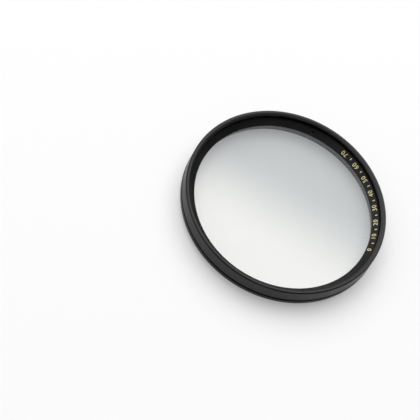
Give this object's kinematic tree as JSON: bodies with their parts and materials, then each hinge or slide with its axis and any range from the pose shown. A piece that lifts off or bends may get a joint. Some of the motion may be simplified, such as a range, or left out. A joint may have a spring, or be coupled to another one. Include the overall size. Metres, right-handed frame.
{
  "type": "screw-in lens filter",
  "caption": "Round graduated grey glass in a black two-part rotating ring, with a male thread behind, a female thread in front and a marked conical retaining ring.",
  "frame": {"origin": "on the optical axis, at the end face of the rear thread", "axes": "+Z along the optical axis towards the front of the filter, +Y towards the dense side of the graduated glass"},
  "size_m": [0.0702, 0.0702, 0.0089],
  "materials": {
    "rear_ring_black": "satin black anodised",
    "front_ring_black": "satin black anodised",
    "retainer_black": "matt black anodised",
    "spring_steel": "drawn wire",
    "graduated_glass": "polished, grey at +Y and clear at -Y"
  },
  "bodies": {
    "rear_mount": {"rear_ring": "rear_ring_black", "snap_wire": "spring_steel"},
    "turning_front": {"front_ring": "front_ring_black", "filter_glass": "graduated_glass", "retaining_ring": "retainer_black"}
  },
  "joints": [
    {"name": "front_turn", "type": "hinge", "parent": "rear_mount", "child": "turning_front", "pos_m": [0, 0, 0.0031], "axis": [0, 0, 1], "continuous": true}
  ]
}
